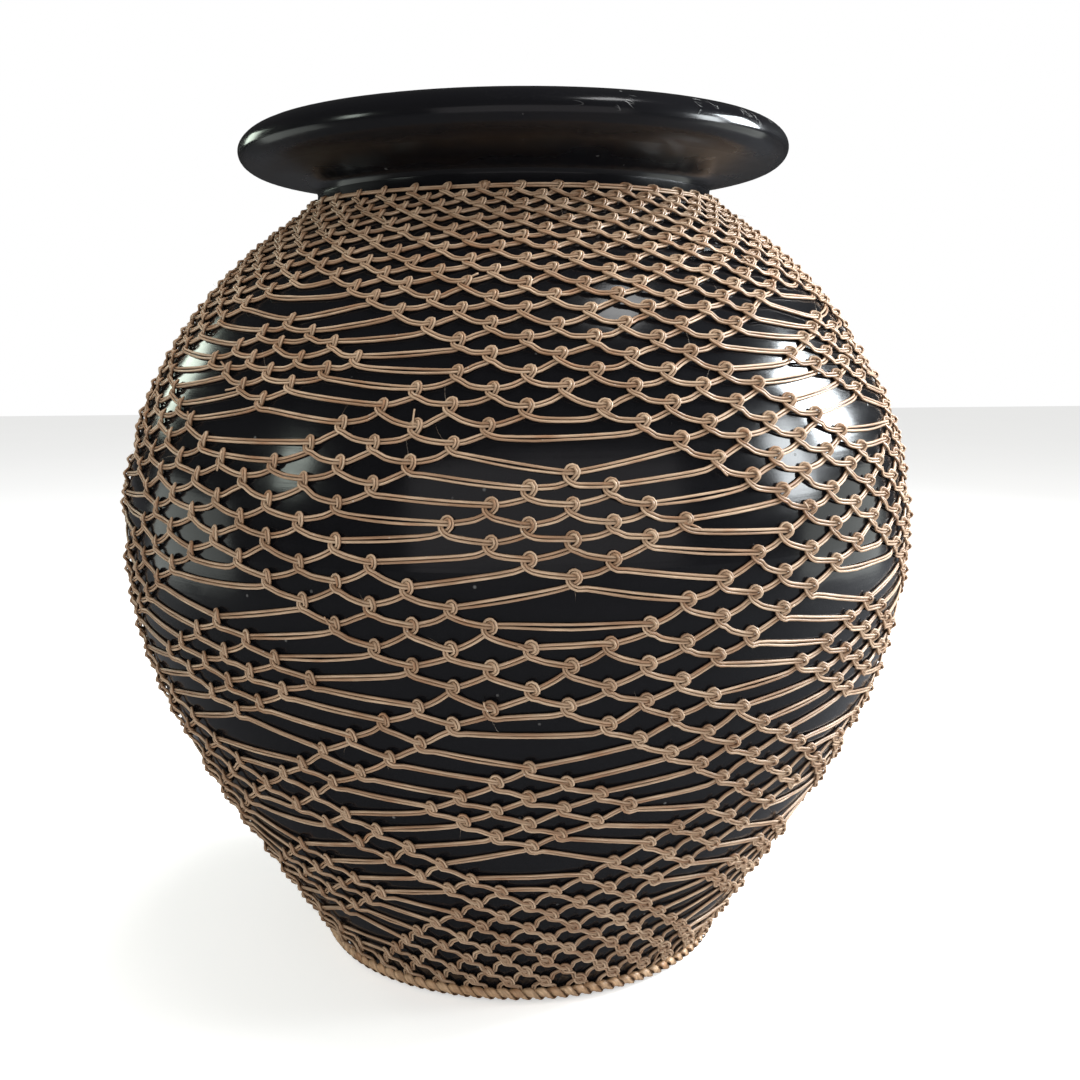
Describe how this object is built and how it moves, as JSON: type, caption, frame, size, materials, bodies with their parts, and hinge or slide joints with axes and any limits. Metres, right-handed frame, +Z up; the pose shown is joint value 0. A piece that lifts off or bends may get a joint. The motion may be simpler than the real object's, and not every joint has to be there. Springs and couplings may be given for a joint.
{
  "type": "netted clay storage pot",
  "caption": "Wide-bellied glossy black clay pot with a rolled lip, wrapped from neck to foot in a knotted cane net with open diamond windows.",
  "frame": {"origin": "centre of the pot's base, on the surface it stands on", "axes": "+Z up along the pot's axis, -Y is the side taken as the front"},
  "size_m": [0.4709, 0.4708, 0.4879],
  "materials": {
    "black_clay": "high gloss black lacquer over low-fired clay",
    "cane": "natural split cane, unvarnished"
  },
  "bodies": {
    "root": {"clay_vessel": "black_clay", "neck_hoop": "cane", "foot_hoop": "cane", "foot_border": "cane", "net_course_01": "cane", "net_course_02": "cane", "net_course_03": "cane", "net_course_04": "cane", "net_course_05": "cane", "net_course_06": "cane", "net_course_07": "cane", "net_course_08": "cane", "net_course_09": "cane", "net_course_10": "cane", "net_course_11": "cane", "net_course_12": "cane", "net_course_13": "cane", "net_course_14": "cane", "net_course_15": "cane", "net_course_16": "cane", "net_course_17": "cane", "net_course_18": "cane", "net_course_19": "cane", "net_course_20": "cane", "net_course_21": "cane", "net_course_22": "cane", "net_course_23": "cane", "net_course_24": "cane", "net_course_25": "cane", "net_course_26": "cane", "net_course_27": "cane", "net_course_28": "cane", "net_course_29": "cane", "net_course_30": "cane", "net_course_31": "cane", "net_course_32": "cane", "net_course_33": "cane", "net_course_34": "cane", "net_course_35": "cane", "net_course_36": "cane", "net_course_37": "cane", "net_course_38": "cane", "net_course_39": "cane", "net_course_40": "cane", "net_course_41": "cane", "net_course_42": "cane", "net_course_43": "cane", "net_course_44": "cane", "net_course_45": "cane", "net_course_46": "cane", "net_course_47": "cane", "net_course_48": "cane", "net_course_49": "cane", "net_course_50": "cane", "net_course_51": "cane", "net_course_52": "cane", "net_course_53": "cane", "net_course_54": "cane"}
  },
  "joints": []
}
